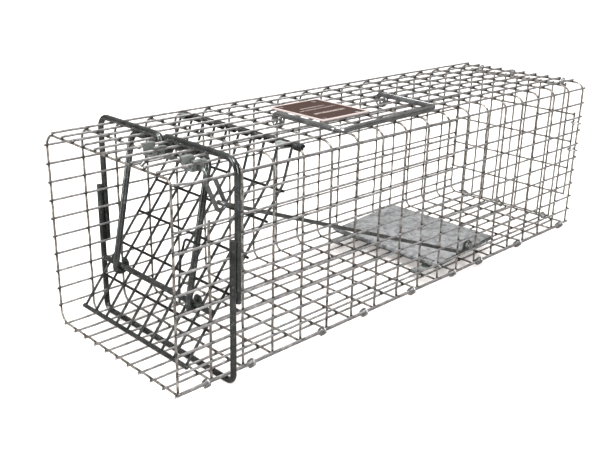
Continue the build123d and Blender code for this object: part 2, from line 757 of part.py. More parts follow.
def flat_eye(y):
    """The curl at one end of the handle, in the XZ plane round its roof wire."""
    with BuildPart() as eye:
        with BuildLine(Plane.XZ.offset(-depth(y))) as path:
            CenterArc((handle_x, ROOF_LONG), HANDLE_EYE_R, 90, HANDLE_EYE_TURN)
        with BuildSketch(start_of(path)):
            Circle(HANDLE_ROD / 2)
        sweep()
    return eye.part


with BuildPart() as handle:
    with BuildLine() as path:
        bent_line(
            [
                (handle_x, depth(HANDLE_EYES[0]), handle_z),
                (handle_x + HANDLE_LEAD, depth(HANDLE_EYES[0]), handle_z),
                (GRIP[0][0], depth(GRIP[0][1]), GRIP_Z),
                (GRIP[1][0], depth(GRIP[1][1]), GRIP_Z),
                (handle_x + HANDLE_LEAD, depth(HANDLE_EYES[1]), handle_z),
                (handle_x, depth(HANDLE_EYES[1]), handle_z),
            ],
            [HANDLE_BEND, GRIP_BEND, GRIP_BEND, HANDLE_BEND],
        )
    with BuildSketch(start_of(path)):
        Circle(HANDLE_ROD / 2)
    sweep()
    for y in HANDLE_EYES:
        add(flat_eye(y))
finish("handle", handle)

# ---------------------------------------------------------------- label
LABEL_X, LABEL_Y = 3.4, 179.5
LABEL_W, LABEL_L = 55.5, 49.5
LABEL_CORNER = 1.5
LABEL_THICK = 0.8
LABEL_RIVET = 2.2
LABEL_HEAD = 3.8  # the countersunk heads are flush with the plate
HOLE_GAP = 0.03
WASHER_R = 3.0
RIVET_TAIL = 0.6

label_low = ROOF_TOP + TOUCH
washer_low = ROOF_LONG - WIRE / 2 - TOUCH - SHEET
RIVET_PLACES = [
    (x, depth(y))
    for x in (LONG_WIRES[24][0] + 3.2, LONG_WIRES[28][0] - 3.2)
    for y in (LABEL_Y - 19.0, LABEL_Y + 15.0)
]

with BuildPart() as label_plate:
    with BuildSketch(Plane.XY.offset(label_low)):
        with Locations((LABEL_X, depth(LABEL_Y))):
            RectangleRounded(LABEL_W, LABEL_L, LABEL_CORNER)
    extrude(amount=LABEL_THICK)
    for x, y in RIVET_PLACES:
        with Locations((x, y, label_low + LABEL_THICK / 2)):
            Cone(LABEL_RIVET / 2 + HOLE_GAP, LABEL_HEAD / 2 + HOLE_GAP, LABEL_THICK, mode=Mode.SUBTRACT)
finish("label_plate", label_plate)

with BuildPart() as label_rivets:
    for x, y in RIVET_PLACES:
        with BuildSketch(Plane.XY.offset(washer_low - RIVET_TAIL)):
            with Locations((x, y)):
                Circle(LABEL_RIVET / 2)
        extrude(amount=label_low - washer_low + RIVET_TAIL)
        with Locations((x, y, label_low + LABEL_THICK / 2)):
            Cone(LABEL_RIVET / 2, LABEL_HEAD / 2, LABEL_THICK)
finish("label_rivets", label_rivets)

with BuildPart() as label_washers:
    with BuildSketch(Plane.XY.offset(washer_low)):
        with Locations(*RIVET_PLACES):
            Circle(WASHER_R)
            Circle(LABEL_RIVET / 2 + HOLE_GAP, mode=Mode.SUBTRACT)
    extrude(amount=SHEET)
finish("label_washers", label_washers)
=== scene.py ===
import random
from math import acos, cos, degrees, pi, radians, sin, tan

import bpy
from mathutils import Matrix, Vector, noise


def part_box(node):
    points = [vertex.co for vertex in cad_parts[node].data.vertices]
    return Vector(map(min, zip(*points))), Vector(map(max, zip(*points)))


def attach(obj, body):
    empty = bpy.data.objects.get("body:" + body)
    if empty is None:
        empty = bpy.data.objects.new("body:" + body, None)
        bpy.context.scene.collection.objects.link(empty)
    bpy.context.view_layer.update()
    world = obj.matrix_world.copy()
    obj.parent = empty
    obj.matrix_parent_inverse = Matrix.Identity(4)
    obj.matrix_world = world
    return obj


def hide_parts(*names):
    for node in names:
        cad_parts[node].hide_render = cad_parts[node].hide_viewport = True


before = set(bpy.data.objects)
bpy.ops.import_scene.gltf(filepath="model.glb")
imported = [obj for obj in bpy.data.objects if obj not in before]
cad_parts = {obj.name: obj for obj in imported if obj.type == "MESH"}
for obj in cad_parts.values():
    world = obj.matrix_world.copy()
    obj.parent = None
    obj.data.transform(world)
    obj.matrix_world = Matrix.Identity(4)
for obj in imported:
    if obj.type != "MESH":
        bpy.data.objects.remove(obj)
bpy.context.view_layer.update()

random.seed(18)
noise.seed_set(18)
MM = 0.001

# ------------------------------------------------------------------ sizes that the frame doesn't state
CELLS_LONG = 18
CELLS_ROUND = 41
WIRE_R = 0.9 * MM
DRAWN_R = 0.8 * MM  # the wire as it is seen, 0.1 mm thinner in radius than the frame has it
WAVINESS = 0.10 * MM
WELD_BLEND = (0.6 * MM, 2.4 * MM)  # how far from a crossing the metal is burnt: fully, and not at all
FOLD = 8.0 * MM
STUB = 1.2 * MM
CELL_ROUND = 12.7 * MM
CUT_LONG_WIRE = 32  # the second wire down on the right starts behind the hand hole
CUT_RING = 1

ring_low, ring_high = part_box("mesh_cross_wires")
long_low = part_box("mesh_long_wires")[0]
HALF = (ring_high.x - ring_low.x) / 2 - WIRE_R
FLOOR = ring_low.z + WIRE_R
ROOF = ring_high.z - WIRE_R
FIRST_RING = ring_low.y + WIRE_R
CELL_LONG = (ring_high.y - ring_low.y - 2 * WIRE_R) / CELLS_LONG
WELD = ring_low.z - long_low.z  # from a cross wire's centre line to a long wire's


def smoothstep(low, high, value):
    """0 below low, 1 above high, and an even ramp between them."""
    t = max(0.0, min(1.0, (value - low) / (high - low)))
    return t * t * (3 - 2 * t)


# ------------------------------------------------------------------ paths
def rounded(points, radii, step=2.0 * MM, arc_steps=8):
    """A dense path through the points, with each inner corner rounded."""
    spots = [Vector(p) for p in points]
    if not isinstance(radii, (list, tuple)):
        radii = [radii] * (len(spots) - 2)
    path = [spots[0]]
    for before, at, after, r in zip(spots, spots[1:], spots[2:], radii):
        into, away = (at - before).normalized(), (after - at).normalized()
        turn = acos(max(-1.0, min(1.0, into.dot(away))))
        reach = r * tan(turn / 2)
        centre = at + (away - into).normalized() * (r / cos(turn / 2))
        first, last = at - into * reach - centre, at + away * reach - centre
        run(path, centre + first, step)
        axis = first.cross(last).normalized()
        for i in range(1, arc_steps + 1):
            path.append(centre + Matrix.Rotation(turn * i / arc_steps, 3, axis) @ first)
    run(path, spots[-1], step)
    return path


def run(path, end, step):
    """Adds a straight run to a path, in short steps."""
    start = path[-1]
    count = max(1, round((end - start).length / step))
    for i in range(1, count + 1):
        path.append(start.lerp(end, i / count))


def turn_about(centre, radius, start, sweep, x, steps=28):
    """An arc in the YZ plane at one x, or a helix when x is a pair; angles run from +Y towards +Z."""
    x0, x1 = x if isinstance(x, tuple) else (x, x)
    spots = []
    for i in range(steps + 1):
        a = radians(start + sweep * i / steps)
        spots.append(Vector((x0 + (x1 - x0) * i / steps, centre[0] + radius * cos(a), centre[1] + radius * sin(a))))
    return spots


class Wires:
    """Collects round wires and small lumps into one mesh, with a weld attribute that its material reads."""

    def __init__(self):
        self.verts, self.faces, self.weld = [], [], []

    def tube(self, path, radius, sides=12, welds=None, waviness=0.0, seed=0.0):
        count = len(path)
        tangents = []
        for i in range(count):
            a, b = path[max(0, i - 1)], path[min(count - 1, i + 1)]
            tangents.append((b - a).normalized())
        across = tangents[0].orthogonal().normalized()
        base = len(self.verts)
        rings = []
        for i, (spot, tangent) in enumerate(zip(path, tangents)):
            across = (across - tangent * across.dot(tangent)).normalized()
            up = tangent.cross(across)
            wave = Vector((0, 0, 0))
            if waviness:
                wave = noise.noise_vector(spot * 22 + Vector((seed, seed * 1.7, 3.1))) * waviness
            near = welds(spot) if welds else 0.0
            rings.append((spot + wave, across, up, radius, near))
        first, last = rings[0], rings[-1]
        dome = radius * 0.35
        rings.insert(0, (first[0] - tangents[0] * dome, first[1], first[2], radius * 0.62, first[4]))
        rings.append((last[0] + tangents[-1] * dome, last[1], last[2], radius * 0.62, last[4]))
        for centre, a, b, r, near in rings:
            for k in range(sides):
                angle = 2 * pi * k / sides
                self.verts.append(centre + a * (r * cos(angle)) + b * (r * sin(angle)))
                self.weld.append(near)
        for i in range(len(rings) - 1):
            for k in range(sides):
                n = (k + 1) % sides
                here, there = base + i * sides, base + (i + 1) * sides
                self.faces.append((here + k, here + n, there + n, there + k))
        self.faces.append(tuple(base + k for k in reversed(range(sides))))
        tail = base + (len(rings) - 1) * sides
        self.faces.append(tuple(tail + k for k in range(sides)))

    def lump(self, centre, a, b, c, rings=5, sides=8):
        """A closed lump with half axes a, b and c."""
        base = len(self.verts)
        self.verts.append(centre + c)
        for i in range(1, rings):
            polar = pi * i / rings
            for k in range(sides):
                angle = 2 * pi * k / sides
                self.verts.append(centre + c * cos(polar) + (a * cos(angle) + b * sin(angle)) * sin(polar))
        self.verts.append(centre - c)
        self.weld += [1.0] * (2 + (rings - 1) * sides)
        end = base + 1 + (rings - 1) * sides
        turn = a.cross(b).dot(c) > 0
        for k in range(sides):
            n = (k + 1) % sides
            quads = [(base, base + 1 + k, base + 1 + n), (end, end - sides + n, end - sides + k)]
            for i in range(rings - 2):
                p = base + 1 + i * sides
                quads.append((p + k, p + sides + k, p + sides + n, p + n))
            self.faces += quads if turn else [tuple(reversed(q)) for q in quads]

    def piece(self, name, body, slot, material, *nodes):
        mesh = bpy.data.meshes.new(name)
        mesh.from_pydata([tuple(v) for v in self.verts], [], self.faces)
        attribute = mesh.attributes.new("weld", "FLOAT", "POINT")
        attribute.data.foreach_set("value", self.weld)
        for polygon in mesh.polygons:
            polygon.use_smooth = len(polygon.vertices) <= 4
        mesh.materials.append(material)
        piece = bpy.data.objects.new(name, mesh)
        bpy.context.scene.collection.objects.link(piece)
        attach(piece, body)
        if nodes:
            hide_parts(*nodes)
        return piece


# ------------------------------------------------------------------ material building
class Nodes:
    """A short way to write a node tree."""

    def __init__(self, name):
        self.material = bpy.data.materials.new(name)
        self.material.use_nodes = True
        self.tree = self.material.node_tree
        self.shader = self.tree.nodes["Principled BSDF"]

    def add(self, kind, inputs=None, **settings):
        node = self.tree.nodes.new("ShaderNode" + kind)
        for key, value in settings.items():
            setattr(node, key, value)
        for key, value in (inputs or {}).items():
            if isinstance(value, bpy.types.NodeSocket):
                self.tree.links.new(value, node.inputs[key])
            else:
                node.inputs[key].default_value = value
        return node

    def place(self, scale=(1, 1, 1)):
        coordinates = self.add("TexCoord")
        return self.add("Mapping", {"Vector": coordinates.outputs["Object"], "Scale": scale}).outputs[0]

    def noise(self, where, scale, detail=3.0, roughness=0.55):
        return self.add(
            "TexNoise", {"Vector": where, "Scale": scale, "Detail": detail, "Roughness": roughness}
        ).outputs["Fac"]

    def ramp(self, value, stops):
        node = self.add("ValToRGB", {"Fac": value})
        elements = node.color_ramp.elements
        for element, (position, colour) in zip(elements, stops[:2]):
            element.position = position
            element.color = shade(colour)
        for position, colour in stops[2:]:
            elements.new(position).color = shade(colour)
        return node.outputs["Color"]

    def mix(self, share, first, second, blend_type="MIX"):
        node = self.add("Mix", data_type="RGBA", blend_type=blend_type)
        for key, value in ((0, share), (6, first), (7, second)):
            if isinstance(value, bpy.types.NodeSocket):
                self.tree.links.new(value, node.inputs[key])
            else:
                node.inputs[key].default_value = value if key == 0 else shade(value)
        return node.outputs[2]

    def math(self, operation, first, second=0.5):
        node = self.add("Math", operation=operation)
        for key, value in ((0, first), (1, second)):
            if isinstance(value, bpy.types.NodeSocket):
                self.tree.links.new(value, node.inputs[key])
            else:
                node.inputs[key].default_value = value
        return node.outputs[0]

    def bump(self, height, distance, strength=1.0):
        node = self.add("Bump", {"Height": height, "Distance": distance, "Strength": strength})
        self.tree.links.new(node.outputs[0], self.shader.inputs["Normal"])

    def finish(self, colour, roughness, metallic):
        for key, value in (("Base Color", colour), ("Roughness", roughness), ("Metallic", metallic)):
            if isinstance(value, bpy.types.NodeSocket):
                self.tree.links.new(value, self.shader.inputs[key])
            else:
                self.shader.inputs[key].default_value = shade(value) if key == "Base Color" else value
        return self.material


def shade(colour):
    return (*colour, 1.0) if len(colour) == 3 else colour


def wire_material(name, dark, middle, light, metallic=0.85, rough=(0.3, 0.6), burn=1.0):
    """Drawn and dipped wire: patchy zinc, drips, and burnt, darker metal at each weld."""
    n = Nodes(name)
    where = n.place()
    patches = n.noise(where, 260.0, 5.0, 0.62)
    colour = n.ramp(patches, [(0.3, dark), (0.5, middle), (0.68, light)])
    soft = n.noise(where, 38.0, 2.0)
    colour = n.mix(n.math("MULTIPLY", soft, 0.5), colour, dark)
    weld = n.add("Attribute", attribute_name="weld").outputs["Fac"]
    burnt = n.math("MULTIPLY", n.math("MULTIPLY", weld, burn), n.math("ADD", n.noise(where, 700.0), 0.35))
    colour = n.mix(burnt, colour, tuple(c * 0.28 for c in dark))
    fine = n.noise(where, 1400.0, 3.0)
    roughness = n.math("MULTIPLY_ADD", patches, rough[1] - rough[0])
    roughness.node.inputs[2].default_value = rough[0]
    n.bump(n.math("ADD", fine, n.math("MULTIPLY", patches, 1.5)), 0.025 * MM)
    return n.finish(colour, roughness, metallic)


def rod_material(name, dark, light, worn, metallic=0.6, rough=(0.28, 0.5), wear=0.5, gloss=0.0, bump=0.05):
    """Thick drawn rod: a fine grain in the bump, patchy oxide, and brighter metal where it's rubbed."""
    n = Nodes(name)
    where = n.place()
    patches = n.noise(where, 90.0, 5.0, 0.6)
    colour = n.ramp(patches, [(0.35, dark), (0.65, light)])
    rubbed = n.ramp(n.noise(where, 330.0, 6.0, 0.7), [(0.56, (0, 0, 0)), (0.68, (wear, wear, wear))])
    colour = n.mix(rubbed, colour, worn)
    fine = n.noise(where, 1600.0, 4.0)
    roughness = n.math("MULTIPLY_ADD", n.noise(where, 240.0, 4.0), rough[1] - rough[0])
    roughness.node.inputs[2].default_value = rough[0]
    n.bump(n.math("ADD", fine, n.math("MULTIPLY", patches, 2.0)), bump * MM)
    n.shader.inputs["Coat Weight"].default_value = gloss
    n.shader.inputs["Coat Roughness"].default_value = 0.16
    return n.finish(colour, roughness, metallic)


def spangled_material(name, scale, contrast, tint):
    """Zinc sheet: angular crystals, each with its own brightness and gloss, under a light bloom."""
    n = Nodes(name)
    where = n.place()
    bent = n.add("VectorMath", {0: where, 1: (0, 0, 0)}, operation="ADD")
    wobble = n.add("TexNoise", {"Vector": where, "Scale": 120.0, "Detail": 2.0}).outputs["Color"]
    small = n.add("VectorMath", {0: wobble, "Scale": 0.006}, operation="SCALE").outputs[0]
    n.tree.links.new(small, bent.inputs[1])
    cells = n.add("TexVoronoi", {"Vector": bent.outputs[0], "Scale": scale}, feature="F1")
    grey = n.add("SeparateColor", {"Color": cells.outputs["Color"]}).outputs[0]
    low = tuple(c * (1 - contrast) for c in tint)
    colour = n.ramp(grey, [(0.05, low), (0.95, tint)])
    bloom = n.noise(where, 60.0, 5.0, 0.65)
    pale = tuple(min(1.0, c * 1.25) for c in tint)
    bloomed = n.ramp(bloom, [(0.5, (0, 0, 0)), (0.75, (0.6, 0.6, 0.6))])
    colour = n.mix(bloomed, colour, pale)
    specks = n.ramp(n.noise(where, 900.0, 3.0), [(0.6, (0, 0, 0)), (0.7, (0.5, 0.5, 0.5))])
    colour = n.mix(specks, colour, tuple(c * 0.45 for c in tint))
    roughness = n.math("MULTIPLY_ADD", grey, 0.25)
    roughness.node.inputs[2].default_value = 0.3
    n.bump(n.math("ADD", grey, n.noise(where, 700.0, 3.0)), 0.05 * MM)
    return n.finish(colour, roughness, 0.8)


def label_material(name, centre, half_x, half_y, border, ink, paper):
    """A printed plate: a brown field inside a pale border, with blank panels and no lettering."""
    n = Nodes(name)
    parts = n.add("SeparateXYZ", {"Vector": n.place()})
    u = n.math("SUBTRACT", parts.outputs[0], centre.x)
    v = n.math("SUBTRACT", parts.outputs[1], centre.y)
    inside = n.math(
        "MULTIPLY",
        n.math("LESS_THAN", n.math("ABSOLUTE", u), half_x - border),
        n.math("LESS_THAN", n.math("ABSOLUTE", v), half_y - border),
    )
    where = n.place()
    mottled = n.ramp(n.noise(where, 420.0, 4.0), [(0.3, tuple(c * 0.8 for c in ink)), (0.7, ink)])
    colour = n.mix(inside, paper, mottled)
    for low, high, reach in ((0.30, 0.42, 0.62), (-0.10, -0.04, 0.74), (-0.3, -0.24, 0.5)):
        bar = n.math(
            "MULTIPLY",
            n.math("GREATER_THAN", u, low * half_x),
            n.math("LESS_THAN", u, high * half_x),
        )
        bar = n.math("MULTIPLY", bar, n.math("LESS_THAN", n.math("ABSOLUTE", v), reach * half_y))
        worn = n.math("MULTIPLY", bar, n.math("GREATER_THAN", n.noise(where, 900.0), 0.42))
        colour = n.mix(n.math("MULTIPLY", worn, 0.55), colour, paper)
    scuffs = n.ramp(n.noise(where, 160.0, 8.0, 0.75), [(0.62, (0, 0, 0)), (0.74, (0.5, 0.5, 0.5))])
    colour = n.mix(scuffs, colour, paper)
    n.bump(n.noise(where, 1200.0, 3.0), 0.03 * MM)
    n.shader.inputs["Specular IOR Level"].default_value = 0.08
    return n.finish(colour, 0.6, 0.0)


mesh_zinc = wire_material(
    "mesh_zinc", (0.22, 0.215, 0.217), (0.37, 0.362, 0.365), (0.62, 0.61, 0.613), 0.65, (0.24, 0.36), 0.7
)
ring_zinc = wire_material(
    "ring_zinc", (0.1, 0.088, 0.076), (0.26, 0.24, 0.22), (0.58, 0.56, 0.53), 0.6, (0.2, 0.4)
)
weld_zinc = wire_material(
    "weld_zinc", (0.025, 0.022, 0.02), (0.06, 0.055, 0.05), (0.2, 0.19, 0.18), 0.5, (0.35, 0.6)
)
door_steel = wire_material(
    "door_steel", (0.008, 0.009, 0.009), (0.02, 0.022, 0.022), (0.07, 0.075, 0.075), 0.6, (0.2, 0.4)
)
hoop_steel = rod_material(
    "hoop_steel", (0.012, 0.015, 0.015), (0.06, 0.068, 0.067), (0.26, 0.27, 0.265), 0.7, (0.2, 0.32), 0.55, 0.7, 0.03
)
lock_steel = rod_material(
    "lock_steel", (0.014, 0.017, 0.017), (0.066, 0.074, 0.073), (0.26, 0.27, 0.265), 0.7, (0.2, 0.34), 0.55, 0.6, 0.03
)
trip_steel = rod_material(
    "trip_steel", (0.07, 0.076, 0.074), (0.17, 0.18, 0.176), (0.4, 0.41, 0.4), 0.75, (0.22, 0.4), gloss=0.3
)
bright_zinc = rod_material(
    "bright_zinc", (0.3, 0.31, 0.31), (0.5, 0.515, 0.515), (0.8, 0.81, 0.81), 0.9, (0.2, 0.36), 0.5, 0.2, 0.02
)
handle_steel = rod_material(
    "handle_steel", (0.14, 0.147, 0.15), (0.26, 0.272, 0.276), (0.5, 0.51, 0.52), 0.85, (0.14, 0.26), 0.2, 0.5, 0.006
)
sheet_zinc = spangled_material("sheet_zinc", 320.0, 0.5, (0.32, 0.345, 0.335))
pan_zinc = spangled_material("pan_zinc", 300.0, 0.6, (0.35, 0.36, 0.368))

# ------------------------------------------------------------------ mesh tunnel
SEAM = 2.0 * MM  # how far the sheet's edges stop short of the seam corner


def section(length):
    """A point on the folded sheet's section, and its direction, by the distance from the floor side of the seam."""
    straight = 2 * HALF - FOLD
    flat = 2 * HALF - 2 * FOLD
    bend = pi / 2 * FOLD
    legs = [straight - SEAM, flat, flat, straight - SEAM]
    spot = Vector((HALF - SEAM, 0, FLOOR))
    heading = Vector((-1, 0, 0))
    for number, leg in enumerate(legs):
        if length <= leg or number == 3:
            return spot + heading * length, heading
        length -= leg
        spot += heading * leg
        inward = Vector((-heading.z, 0, heading.x)) * -1
        centre = spot + inward * FOLD
        if length <= bend:
            turned = Matrix.Rotation(length / FOLD, 3, "Y")
            return centre + turned @ (spot - centre), turned @ heading
        length -= bend
        turned = Matrix.Rotation(pi / 2, 3, "Y")
        spot = centre + turned @ (spot - centre)
        heading = turned @ heading


def long_wire(number):
    """Centre of one long wire in the section, which lies outside the cross wires."""
    spot, heading = section(number * CELL_ROUND)
    return spot + Vector((-heading.z, 0, heading.x)) * WELD, spot, heading


def ring_y(number):
    return FIRST_RING + number * CELL_LONG


def near_ring(spot):
    """How close a point along the tunnel is to a cross wire: 1 at the weld."""
    away = abs((spot.y - FIRST_RING) / CELL_LONG - round((spot.y - FIRST_RING) / CELL_LONG)) * CELL_LONG
    return 1 - smoothstep(0.6 * MM, 2.6 * MM, away)


LONG_SPOTS = [long_wire(k) for k in range(CELLS_ROUND + 1)]


def near_long(spot):
    """How close a point on a cross wire is to a long wire."""
    flat = Vector((spot.x, 0, spot.z))
    away = min((flat - inner).length for _, inner, _ in LONG_SPOTS)
    return 1 - smoothstep(*WELD_BLEND, away)


CORNER_WIRE = 31  # the long wire on the near top corner
BULGE = 0.10 * MM  # how far each span of a long wire stands out between its welds
OPEN_END = 16.0 * MM  # how much of the near corner's wire is pushed out, where the first ring is folded more sharply


def corner_push(number, y):
    """How far the near corner's long wire is pushed out at the open end."""
    if number != CORNER_WIRE:
        return Vector((0, 0, 0))
    return Vector((0.75 * MM, 0, 1.6 * MM)) * (1 - smoothstep(0, OPEN_END, y - FIRST_RING))


tunnel_long = Wires()
for number, (spot, inner, heading) in enumerate(LONG_SPOTS):
    front = FIRST_RING - random.uniform(0.5, 0.9) * MM
    if number == CUT_LONG_WIRE:
        front = ring_y(2) - STUB
    rear = ring_y(CELLS_LONG) + random.uniform(0.3, 0.7) * MM
    path = [Vector((spot.x, front, spot.z))]
    run(path, Vector((spot.x, rear, spot.z)), 1.4 * MM)
    out = Vector((-heading.z, 0, heading.x))
    path = [
        p + out * (abs(sin((p.y - FIRST_RING) / CELL_LONG * pi)) ** 1.5 * BULGE) + corner_push(number, p.y)
        for p in path
    ]
    tunnel_long.tube(path, DRAWN_R, 12, near_ring, WAVINESS, number * 1.31)
tunnel_long.piece("mesh_long", "cage", "galvanised_mesh", mesh_zinc, "mesh_long_wires")


def kinked(spot, seed):
    """A point on a cross wire, pushed off its line between the welds the way rolled mesh is."""
    flat = Vector((spot.x, 0, spot.z))
    nearest = min(LONG_SPOTS, key=lambda item: (item[1] - flat).length)
    away = min(1.0, (nearest[1] - flat).length / (CELL_ROUND / 2))
    out = (nearest[0] - nearest[1]).normalized()
    sway = noise.noise(Vector((spot.x * 60, seed * 7.7, spot.z * 60)))
    return spot - out * (0.22 * MM * away) + Vector((0, sway * 0.55 * MM * away, 0))


ring_corners = [
    Vector((HALF - SEAM + STUB * 0.6, 0, FLOOR)),
    Vector((-HALF, 0, FLOOR)),
    Vector((-HALF, 0, ROOF)),
    Vector((HALF, 0, ROOF)),
    Vector((HALF, 0, FLOOR + SEAM - STUB * 0.6)),
]
tunnel_rings = Wires()
for number in range(CELLS_LONG + 1):
    at = Vector((0, ring_y(number), 0))
    if number == CUT_RING:
        paths = [
            rounded([p + at for p in ring_corners[:3]] + [Vector((1.0 * MM, 0, ROOF)) + at], FOLD, 1.4 * MM),
            rounded([ring_corners[4] + at, Vector((HALF, 0, LONG_SPOTS[33][0].z + STUB)) + at], [], 1.4 * MM),
        ]
    else:
        near_fold = 4.5 * MM if number == 0 else FOLD
        paths = [rounded([p + at for p in ring_corners], [FOLD, FOLD, near_fold], 1.4 * MM)]
    for path in paths:
        path = [kinked(p, number) for p in path]
        tunnel_rings.tube(path, DRAWN_R, 12, near_long, WAVINESS, number * 2.17)
tunnel_rings.piece("mesh_rings", "cage", "galvanised_mesh", ring_zinc, "mesh_cross_wires")

welds = Wires()
for number, (outer, inner, heading) in enumerate(LONG_SPOTS):
    out = Vector((-heading.z, 0, heading.x))
    for ring in range(CELLS_LONG + 1):
        if number == CUT_LONG_WIRE and ring < 2 or ring == CUT_RING and 25 < number < 33:
            continue
        middle = (outer + inner) / 2 + Vector((0, ring_y(ring), 0)) + corner_push(number, ring_y(ring))
        size = random.uniform(0.7, 1.05)
        welds.lump(
            middle + Vector((0, random.uniform(-0.15, 0.15) * MM, 0)),
            heading * (1.0 * MM * size),
            Vector((0, 1.0 * MM * size, 0)),
            out * (0.55 * MM),
        )

# ------------------------------------------------------------------ rear panel
upright_low, upright_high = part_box("rear_panel_uprights")
rail_low, rail_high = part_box("rear_panel_rails")
UPRIGHTS, RAILS = 11, 6
panel = Wires()
upright_y = (upright_low.y + upright_high.y) / 2
rail_y = (rail_low.y + rail_high.y) / 2
upright_xs = [(k - (UPRIGHTS - 1) / 2) * CELL_ROUND for k in range(UPRIGHTS)]
rail_zs = [rail_low.z + WIRE_R + CELL_LONG * k for k in range(RAILS)]


def near_any(value, places):
    return 1 - smoothstep(*WELD_BLEND, min(abs(value - p) for p in places))


for k, x in enumerate(upright_xs):
    outer = k in (0, UPRIGHTS - 1)
    low_end = rail_zs[1] - STUB if outer else upright_low.z
    high_end = rail_zs[-2] + STUB if outer else upright_high.z
    path = [Vector((x, upright_y, low_end))]
    run(path, Vector((x, upright_y, high_end)), 1.5 * MM)
    panel.tube(path, DRAWN_R, 12, lambda p: near_any(p.z, rail_zs), 0.12 * MM, k * 1.9)
for k, z in enumerate(rail_zs):
    crossed = upright_xs[1:-1] if k in (0, RAILS - 1) else upright_xs
    path = [Vector((crossed[0] - STUB, rail_y, z))]
    run(path, Vector((crossed[-1] + STUB, rail_y, z)), 1.5 * MM)
    panel.tube(path, DRAWN_R, 12, lambda p: near_any(p.x, upright_xs), 0.12 * MM, k * 2.3)
    for x in crossed:
        welds.lump(
            Vector((x, (upright_y + rail_y) / 2, z)),
            Vector((0.9 * MM, 0, 0)),
            Vector((0, 0, 0.9 * MM)),
            Vector((0, 0.55 * MM, 0)),
        )
panel.piece("rear_panel", "cage", "galvanised_mesh", ring_zinc, "rear_panel_uprights", "rear_panel_rails")
welds.piece("mesh_welds", "cage", "galvanised_mesh", weld_zinc)

# ------------------------------------------------------------------ hog rings
RING_R = 0.8 * MM


def hog_ring(wires, first, second, along, seed):
    """A crimped ring round two parallel wires, its pointed ends crossing on the outside."""
    one, two = Vector(first), Vector(second)
    across = (two - one).normalized()
    along = Vector(along)
    out = along.cross(across)
    half, r = (two - one).length / 2, WIRE_R + RING_R + 0.1 * MM
    middle = (one + two) / 2
    spots = []
    for i in range(61):
        t = i / 60
        angle = radians(112 - 404 * t)
        a = (half + r) * cos(angle)
        b = r * 1.3 * sin(angle) * (1 + 0.15 * cos(2 * angle))
        lean = (t - 0.5) * 2.6 * MM * (0.9 + 0.2 * noise.noise(Vector((seed, t * 3, 0))))
        spots.append(middle + across * a + out * b + along * lean)
    wires.tube(spots, RING_R, 10)


ring_wire = Wires()
SEAM_RINGS = [21.3, 57.7, 122.9, 166.3, 222.0, 275.0, 312.8, 373.5, 447.0]
low_seam, high_seam = LONG_SPOTS[0][0], LONG_SPOTS[-1][0]
for number, distance in enumerate(SEAM_RINGS):
    at = Vector((0, FIRST_RING + distance * MM, 0))
    hog_ring(ring_wire, low_seam + at, high_seam + at, (0, 1, 0), number * 3.3)
TOP_RINGS = [-41.8, -5.9, 46.6]
BOTTOM_RINGS = [-46.0, -4.7, 45.2]
SIDE_RINGS = [103.9, 78.5]
last = ring_y(CELLS_LONG)
for number, x in enumerate(TOP_RINGS):
    hog_ring(ring_wire, (x * MM, rail_y, rail_zs[-1]), (x * MM, last, ROOF), (1, 0, 0), number * 5.1)
for number, x in enumerate(BOTTOM_RINGS):
    hog_ring(ring_wire, (x * MM, last, FLOOR), (x * MM, rail_y, rail_zs[0]), (1, 0, 0), number * 6.3)
for number, z in enumerate(SIDE_RINGS):
    hog_ring(ring_wire, (upright_xs[-1], upright_y, z * MM), (HALF, last, z * MM), (0, 0, 1), number * 7.9)
ring_wire.piece("hog_rings", "cage", "bright_wire", bright_zinc, "seam_rings", "rear_rings")

# ------------------------------------------------------------------ door wires
slope_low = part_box("door_slope_wires")[0]
DOOR_WIRE_R = 0.9 * MM
DOOR_WIRES = 10
TOP_LEAN, MAIN_LEAN = radians(22.0), radians(38.5)  # from vertical, above and below the door's bend
WRAP_R = DRAWN_R + 0.05 * MM + DOOR_WIRE_R
WRAP_TURNS = 4.4
hinge = Vector((0, ring_y(4), ROOF))
bend = hinge - Vector((0, sin(TOP_LEAN), cos(TOP_LEAN))) * CELL_LONG
slope = Vector((0, sin(MAIN_LEAN), cos(MAIN_LEAN)))
foot = bend - slope * (5 * CELL_LONG)
cross_zs = [(foot + slope * (CELL_LONG * k)).z for k in range(1, 5)]
slope_wires = Wires()
for number in range(DOOR_WIRES):
    x = slope_low.x + DOOR_WIRE_R + number * CELL_ROUND
    leave = radians(180) - TOP_LEAN
    top = hinge + Vector((0, cos(leave), sin(leave))) * WRAP_R
    start = foot + slope * (1.52 * MM)
    path = rounded([Vector((x, p.y, p.z)) for p in (start, bend, top)], 12 * MM, 1.4 * MM)
    wrap = (x, x + (WRAP_TURNS - 0.6) * 2.04 * DOOR_WIRE_R)
    path += turn_about((hinge.y, hinge.z), WRAP_R, 180 - degrees(TOP_LEAN), -360 * WRAP_TURNS, wrap, 96)[1:]
    slope_wires.tube(path, DOOR_WIRE_R, 12, lambda p: 0.7 * near_any(p.z, cross_zs), 0.06 * MM, number * 3.1)
slope_wires.piece("door_slope", "door", "dark_wire", door_steel, "door_slope_wires")

# ------------------------------------------------------------------ welds that join the two hoops' legs
hoop_low, hoop_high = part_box("lower_hoop")
left_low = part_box("upper_hoop_left")[0]
HOOP_R = 2.0 * MM
join_y = hoop_high.y
hoop_welds = Wires()
for x in (hoop_low.x + HOOP_R, hoop_high.x - HOOP_R):
    for z in (hoop_high.z - 4 * MM, left_low.z + 5 * MM):
        for side in (-1, 1):
            hoop_welds.lump(
                Vector((x + side * 1.1 * MM, join_y, z + random.uniform(-0.6, 0.6) * MM)),
                Vector((0.75 * MM, 0, 0)),
                Vector((0, 1.3 * MM, 0)),
                Vector((0, 0, 3.4 * MM)),
                8,
                12,
            )
hoop_welds.piece("hoop_welds", "cage", "dark_rod", weld_zinc)

